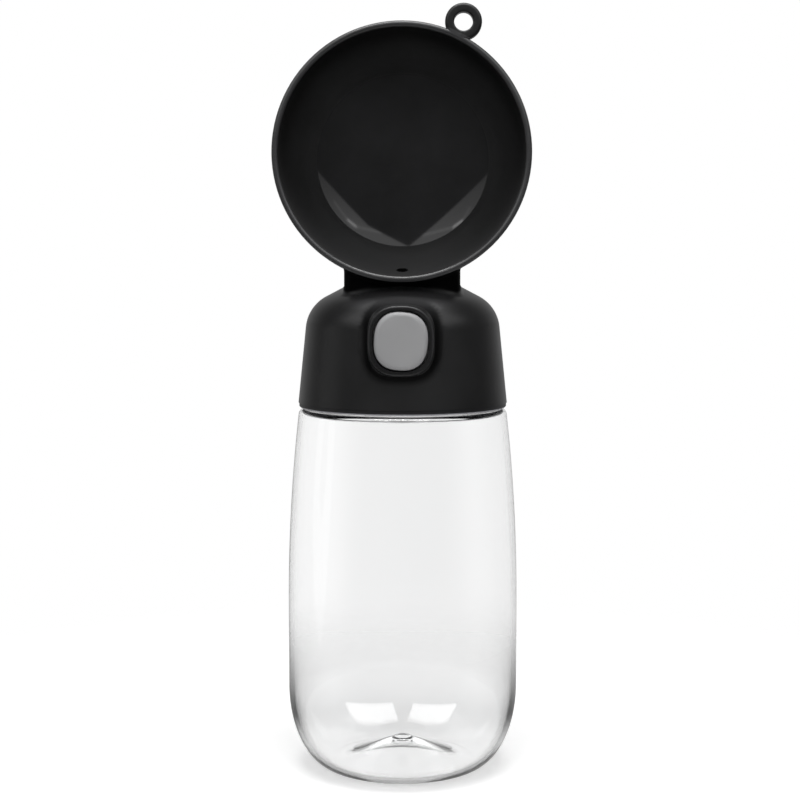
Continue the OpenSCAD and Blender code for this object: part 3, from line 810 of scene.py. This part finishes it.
def head_plastic():
    """The head's black plastic: fine grain outside, polished on the bowl's floor, rough in the outlet.
    Painted light and painted shade lie on the bowl, its rim, the crest, the bridge, the button's ring and the
    outlet.
    """
    mat, shader, start = material("head_black")
    where = position(start)
    facing = start.add("ShaderNodeTexCoord", output="Normal")
    x, y, z = (part(where, axis) for axis in "XYZ")
    cloud = noise(where, CLOUD, detail=3.0)
    fine = noise(where, GRAIN, detail=2.0)
    slow = noise(where, BOWL_CLOUD, detail=2.0)

    ahead, across, sideways = bowl_view(where)
    on_floor, on_rim, in_bowl = bowl_masks(facing, ahead, across, sideways)
    on_wall = in_bowl * (1 - on_floor) * (1 - on_rim)
    in_outlet = outlet_mask(x, y, z)
    on_side, coned = cap_side(x, y, z)
    crest, bridge = crest_and_bridge(facing, x, y, z, in_bowl, on_rim)
    ring_edge, hollow = ring_masks(x, y, z)

    # Painted light on the bowl's floor, the ring's edge, the rim and the crest; painted shade on the bridge,
    # in the outlet and on the bowl's wall
    painted_tone = (1 + on_floor * BOWL_FLOOR_PAINTED_LIGHT + ring_edge * RING_EDGE_PAINTED_HIGHLIGHT + on_rim * RIM_PAINTED_HIGHLIGHT + crest * CREST_PAINTED_LIGHT
            + bridge * BRIDGE_PAINTED_SHADE)
    painted_tone = painted_tone * (1 - in_outlet * OUTLET_PAINTED_SHADE) * wall_painted_light_and_shade(z, ahead, on_wall)
    link(start.vector("SCALE", between(cloud, HEAD_BLACK), Scale=painted_tone), shader, "Base Color")

    satin = HEAD_ROUGH + cloud * HEAD_CLOUD_ROUGH + fine * HEAD_GRAIN_ROUGH
    polished = BOWL_ROUGH - on_floor * FLOOR_POLISH + slow * BOWL_CLOUD_ROUGH
    rough = satin + (polished - satin) * in_bowl
    link(rough + (1 - rough) * in_outlet, shader, "Roughness")

    dished = start.vector("ADD", start.vector("SCALE", sideways, Scale=-2 * DISH_CURVE), tuple(BOWL_FORWARD))
    turned_out = start.add("ShaderNodeVectorTransform",
                           {"vector_type": "NORMAL", "convert_from": "OBJECT", "convert_to": "WORLD"},
                           Vector=pick_vector(on_side, dished, coned))
    even = start.vector("NORMALIZE", turned_out)
    grain = bump(fine, GRAIN_STRENGTH, GRAIN_DEPTH)
    link(pick_vector(either(on_floor, on_side), grain, even), shader, "Normal")

    shader.inputs["Specular IOR Level"].default_value = 0.45
    shader.inputs["Coat Roughness"].default_value = 0.2
    link(on_rim * RIM_COAT, shader, "Coat Weight")
    # Near-black diffuse mixed over the plastic as painted shade round the ring and on the bridge
    shade_black = start.add("ShaderNodeBsdfDiffuse", Color=PAINTED_SHADE_BLACK)
    painted_shade = either(hollow * HOLLOW_PAINTED_SHADE, bridge * BRIDGE_PAINTED_BLACK)
    with_painted_shade = mix_shaders(painted_shade, Shade(start.tree, shader.outputs[0]), shade_black)
    link(with_painted_shade, mat.node_tree.nodes["Material Output"], "Surface")
    return mat


def collar_plastic():
    """The collar's black plastic, greyer on the underside with painted light, standing in for light through
    the bottle's clear shoulder.
    """
    mat, shader, start = material("collar_black")
    where = position(start)
    cloud = noise(where, CLOUD, detail=3.0)
    fine = noise(where, GRAIN, detail=2.0)
    # Painted light: faces that look down are lighter
    under = part(start.add("ShaderNodeTexCoord", output="Normal"), "Z") < UNDERSIDE_FACING
    painted_tone = 1 + under * UNDERSIDE_PAINTED_LIGHT
    link(start.vector("SCALE", between(cloud, BLACK), Scale=painted_tone), shader, "Base Color")
    link(BLACK_ROUGH + cloud * CLOUD_ROUGH + fine * GRAIN_ROUGH, shader, "Roughness")
    link(bump(fine, GRAIN_STRENGTH, GRAIN_DEPTH), shader, "Normal")
    return mat


def silicone():
    """Pale soft rubber that lets a little light in."""
    mat, shader, start = material("silicone")
    cloud = noise(position(start), RUBBER_CLOUD, detail=3.0)
    link(between(cloud, SILICONE), shader, "Base Color")
    link(RUBBER_ROUGH + cloud * RUBBER_CLOUD_ROUGH, shader, "Roughness")
    shader.inputs["Subsurface Weight"].default_value = 0.3
    shader.inputs["Subsurface Radius"].default_value = (0.002, 0.002, 0.002)
    return mat


def steel():
    """Drawn spring wire."""
    mat, shader, start = material("steel")
    shader.inputs["Metallic"].default_value = 1.0
    drawn = noise(position(start), WIRE_LINES, detail=4.0)
    link(between(drawn, STEEL), shader, "Base Color")
    link(WIRE_ROUGH + drawn * WIRE_LINES_ROUGH, shader, "Roughness")
    return mat


# ---- Stage ----

def put_camera():
    """The lens and its place round the bottle's axis."""
    data = bpy.data.cameras.new("camera")
    data.sensor_width = FILM_W
    data.lens = LENS
    data.clip_start = 0.01
    camera = bpy.data.objects.new("camera", data)
    bpy.context.scene.collection.objects.link(camera)
    x = CAMERA_AWAY * sin(CAMERA_TURN) + CAMERA_ASIDE * cos(CAMERA_TURN)
    y = -CAMERA_AWAY * cos(CAMERA_TURN) + CAMERA_ASIDE * sin(CAMERA_TURN)
    camera.location = (x, y, CAMERA_UP)
    camera.rotation_euler = (math.radians(90 - CAMERA_DOWN), 0, math.radians(CAMERA_TURN))
    bpy.context.scene.camera = camera


def heading(side, up):
    """Unit vector at an angle to the right of the front, and an angle up."""
    return Vector((sin(side) * cos(up), -cos(side) * cos(up), sin(up)))


def softbox(name, aim, side, up, away, width, height, glow):
    """A lit panel that faces a point. At a glow of 1 it is as bright as white paper in plain light."""
    data = bpy.data.lights.new(name, "AREA")
    data.shape = "RECTANGLE"
    data.size = width
    data.size_y = height
    data.energy = glow * math.pi * width * height
    lamp = bpy.data.objects.new(name, data)
    bpy.context.scene.collection.objects.link(lamp)
    out = heading(side, up)
    lamp.location = Vector(aim) + out * away
    lamp.rotation_euler = (-out).to_track_quat("-Z", "Y").to_euler()
    return lamp


def light_studio():
    """Two panels at the sides that only light the part, and one above."""
    for side in (-SIDE_LAMP_TURN, SIDE_LAMP_TURN):
        lamp = softbox("side_panel", (0, -LAMP_FRONT, BOWL_Z * MM), side, **SIDE_LAMP)
        lamp.visible_glossy = False
        lamp.visible_transmission = False
    softbox("top_panel", (0, -LAMP_FRONT, TOP_LAMP_AIM_Z), 0.0, **TOP_LAMP)


def bounced(start):
    """1 for light that a gloss has thrown back at least once. It sees the dim studio, not the backdrop."""
    return start.math("MINIMUM", ray(start, "Glossy Depth"), 1.0)


def glowing(start, strength):
    """White light of its own."""
    return start.add("ShaderNodeEmission", Color=(1, 1, 1, 1), Strength=strength)


def table_white():
    """White near the bottle and clear further out, dimmer in a gloss, and brighter through the bottle, where
    a painted pool of light glows by its foot.
    """
    mat = bpy.data.materials.new("floor_white")
    mat.use_nodes = True
    mat.node_tree.nodes.clear()
    start = Shade(mat.node_tree)
    away = length(position(start))
    far = eased(away, TABLE_END_FADE)
    outer = eased(away, TABLE_DIM_FADE)
    through = ray(start, "Is Transmission Ray")
    paper = start.add("ShaderNodeBsdfDiffuse", Color=TABLE_WHITE)
    clear = start.add("ShaderNodeBsdfTransparent", Color=(1, 1, 1, 1))
    near = start.add("ShaderNodeAddShader", in0=paper, in1=glowing(start, FLOOR_LIFT))
    seen = mix_shaders(far, near, clear)
    # Painted pool of light: through the bottle, the table by its foot glows white
    with_painted_pool = mix_shaders(through * (1 - outer) * FOOT_PAINTED_POOL, seen, glowing(start, 1.0))
    in_gloss = bounced(start) * (FLOOR_DIM + outer * (FLOOR_DIM_FAR - FLOOR_DIM))
    dim = (in_gloss + through * outer * FLOOR_THROUGH_DIM).clamp() * (1 - far)
    mirrored = mix_shaders(dim, with_painted_pool, glowing(start, ROOM_DARK))
    both = mix_shaders(ray(start, "Is Diffuse Ray"), mirrored, paper)
    link(both, mat.node_tree.nodes.new("ShaderNodeOutputMaterial"), "Surface")
    return mat


def make_floor():
    """A round white table that fades into the white backdrop."""
    bm = bmesh.new()
    edge = [(TABLE_R * cos(a), TABLE_R * sin(a), 0) for a in spread(0, 360, steps=64)[:-1]]
    bm.faces.new([bm.verts.new(p) for p in edge])
    floor = new_object("floor", bm)
    floor.data.materials.append(table_white())


def above(where, first, second):
    """1 for directions above the line through two others, the first on the left as the camera has them."""
    up = heading(*first).cross(heading(*second)).normalized()
    return eased(dot(where, tuple(up)), (-PANEL_BLUR, PANEL_BLUR))


def lit_panel(where, *corners):
    """1 inside a panel, whose corners are directions listed anticlockwise as the camera has them."""
    inside = 1.0
    for first, second in zip(corners, corners[1:] + corners[:1]):
        inside = inside * above(where, first, second)
    return inside


def streak(where, first, second):
    """1 along a thin bright edge between two directions, the first on the left."""
    low = [(side, up - EDGE_THICK) for side, up in (first, second)]
    top = [(side, up + EDGE_THICK) for side, up in (second, first)]
    return lit_panel(where, *low, *top)


def bowl_panels(where, y, z):
    """The two tall lit panels that lean together, as the polished floor of the bowl mirrors them."""
    roof = either(above(where, PANEL_LEFT_FOOT, PANEL_PEAK),
                  either(above(where, PANEL_PEAK, PANEL_KNEE), above(where, PANEL_KNEE, PANEL_RIGHT_FOOT)))
    shape = (roof
             * above(where, PANEL_RIGHT_FOOT, PANEL_RIGHT_FAR)
             * above(where, PANEL_LEFT_FAR, PANEL_LEFT_FOOT)
             * (z < PANEL_TOP) * (y < PANEL_BACK))
    rise = z.add("ShaderNodeMapRange", Value=z, **PANEL_RISE)
    soft = sum(streak(where, *ends) for ends in SOFT_EDGES)
    hot = sum(streak(where, *ends) for ends in HOT_EDGES)
    return shape * (rise * PANEL_GLOW + soft * EDGE_GLOW + hot * HOT_EDGE_GLOW)


def seen_in_glass(where, x, y, z, thrown_back):
    """What shows through the clear bottle: white behind it, and the studio where the glass mirrors."""
    straight = 1 - x * SIDE_FALL
    beside = eased(y, GLASS_SIDE_FADE)
    over_floor = eased(z, GLASS_FLOOR_FADE)
    under = GLASS_UNDER + x * GLASS_UNDER
    room = under + over_floor * (beside * (1 - GLASS_ROOM) + GLASS_ROOM - under)
    by_foot = sum(lit_panel(where, *corners) for corners in FOOT_PANELS)
    return straight + thrown_back * (room - straight + by_foot * GLASS_GLOW)


def seen_in_gloss(where, x, y, z):
    """What a gloss mirrors: a dim studio, the paler backdrop, the lit panels and a thin strip on the left."""
    strip = abs(x - STRIP_SIDE) < STRIP_HALF_W
    backdrop = eased(y, BACKDROP_FADE) * (BACKDROP_SHEEN - ROOM_DARK)
    return backdrop + ROOM_DARK + bowl_panels(where, y, z) + strip * STRIP_GLOW


def make_world():
    """A white backdrop for the camera, and round the part a dim studio with lit panels."""
    world = bpy.data.worlds.new("studio")
    bpy.context.scene.world = world
    world.use_nodes = True
    world.node_tree.nodes.clear()
    start = Shade(world.node_tree)
    where = start.add("ShaderNodeTexCoord", output="Generated")
    x, y, z = (part(where, axis) for axis in "XYZ")
    camera_ray = ray(start, "Is Camera Ray")
    through = ray(start, "Is Transmission Ray")
    gloss = ray(start, "Is Glossy Ray") * (1 - through)
    plain = (1 - camera_ray - through - gloss).clamp()
    in_glass = seen_in_glass(where, x, y, z, bounced(start))
    in_gloss = seen_in_gloss(where, x, y, z)
    strength = camera_ray + through * in_glass + gloss * in_gloss + plain * FILL
    back = start.add("ShaderNodeBackground", Color=(1, 1, 1, 1), Strength=strength)
    link(back, world.node_tree.nodes.new("ShaderNodeOutputWorld"), "Surface")


# ---- Assembly ----

def make_even_shading():
    """Node group that welds a mesh and shades it smooth, but for steep edges and the bowl's floor edge."""
    steep = math.radians(SHARP_CAD)
    floor_edge = math.radians(SHARP_FLOOR_EDGE)
    group = bpy.data.node_groups.new("even_shading", "GeometryNodeTree")
    group.interface.new_socket("Geometry", in_out="INPUT", socket_type="NodeSocketGeometry")
    group.interface.new_socket("Geometry", in_out="OUTPUT", socket_type="NodeSocketGeometry")
    start = Shade(group)
    mesh = start.add("NodeGroupInput")
    welded = start.add("GeometryNodeMergeByDistance", Geometry=mesh, Distance=WELD)
    smooth = start.add("GeometryNodeSetShadeSmooth", {"domain": "FACE"}, Geometry=welded, Shade_Smooth=True)
    angle = start.add("GeometryNodeInputMeshEdgeAngle")
    floor_level = BOWL_CENTRE.dot(BOWL_FORWARD) - BOWL_DEPTH * MM
    along = dot(start.add("GeometryNodeInputPosition"), tuple(BOWL_FORWARD))
    on_floor_edge = abs(along - floor_level) < NEAR_EDGE * MM
    sharp = angle > steep - on_floor_edge * (steep - floor_edge)
    creased = start.add("GeometryNodeSetShadeSmooth", {"domain": "EDGE"}, Geometry=smooth, Selection=sharp,
                        Shade_Smooth=False)
    link(creased, group.nodes.new("NodeGroupOutput"), 0)
    return group


def shade_cad(node, mat, group):
    """Dresses a CAD node: its own material, and smooth shading between faces that nearly line up."""
    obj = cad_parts[node]
    obj.data.materials.clear()
    obj.data.materials.append(mat)
    even = obj.modifiers.new("even_shading", "NODES")
    even.node_group = group
    weigh = obj.modifiers.new("weighted_normals", "WEIGHTED_NORMAL")
    weigh.keep_sharp = True


put_camera()
make_world()
light_studio()
make_floor()

black = moulded("black_plastic", BLACK, BLACK_ROUGH)
grey = moulded("grey_plastic", GREY, GREY_ROUGH)
ivory = moulded("ivory_plastic", IVORY, IVORY_ROUGH, IVORY_GRAIN_STRENGTH)
rubber = silicone()
wire = steel()

for piece, mat in ((make_bottle(), clear_plastic()), (make_collar_thread(), black), (make_spring(), wire)):
    piece.data.materials.append(mat)

DRESS = {
    "screw_collar": collar_plastic(), "cap_shell": head_plastic(), "push_button": grey,
    "mouth_gasket": rubber, "rear_plug_oring": rubber, "stem_oring": rubber,
    "outlet_oring": rubber, "stem_seal": rubber,
    "valve_housing": ivory, "rear_plug": ivory, "gland_bush": ivory, "valve_stem": ivory,
    "seal_clip": wire,
}
even_shading = make_even_shading()
for node, mat in DRESS.items():
    shade_cad(node, mat, even_shading)

bpy.context.scene.view_settings.view_transform = "Standard"
